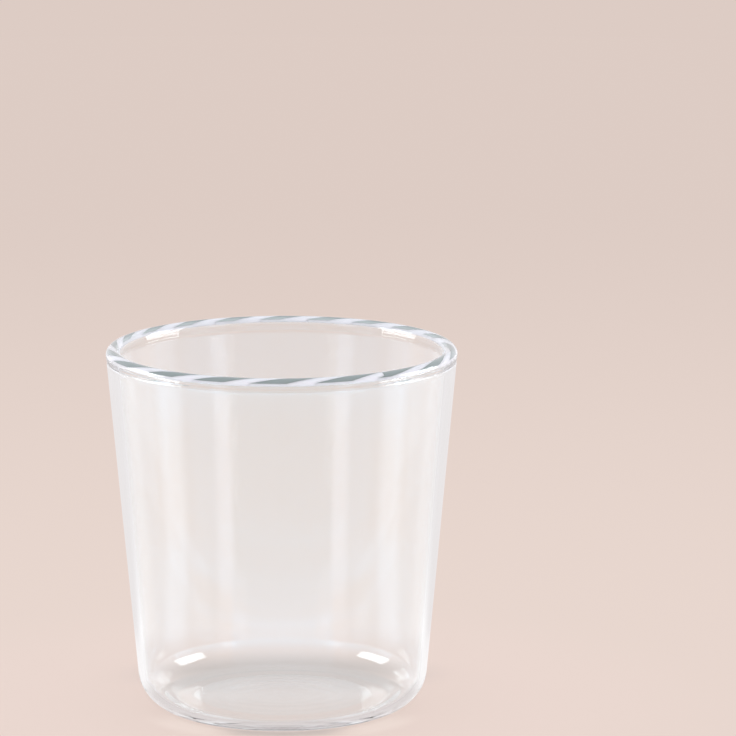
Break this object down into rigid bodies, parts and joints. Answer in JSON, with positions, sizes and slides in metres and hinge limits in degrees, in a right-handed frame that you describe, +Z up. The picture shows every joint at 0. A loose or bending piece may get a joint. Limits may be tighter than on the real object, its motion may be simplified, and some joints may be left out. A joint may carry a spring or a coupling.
{
  "type": "drinking glass",
  "caption": "Clear tapered tumbler of blown glass with a round heel and a lip edged with a twisted cane of grey-green and milk-white glass strands.",
  "frame": {"origin": "centre of the base, on the surface that the glass stands on", "axes": "+Z up along the cup's axis, -Y towards the viewer of the picture, +X to the viewer's right"},
  "size_m": [0.086, 0.086, 0.09],
  "materials": {
    "clear_glass": "fire-polished, clear",
    "grey_green_glass": "glossy, nearly opaque",
    "milk_white_glass": "glossy, milky"
  },
  "bodies": {
    "root": {"tumbler_body": "clear_glass", "grey_green_strand_1": "grey_green_glass", "grey_green_strand_2": "grey_green_glass", "milk_white_strand_1": "milk_white_glass", "milk_white_strand_2": "milk_white_glass"}
  },
  "joints": []
}
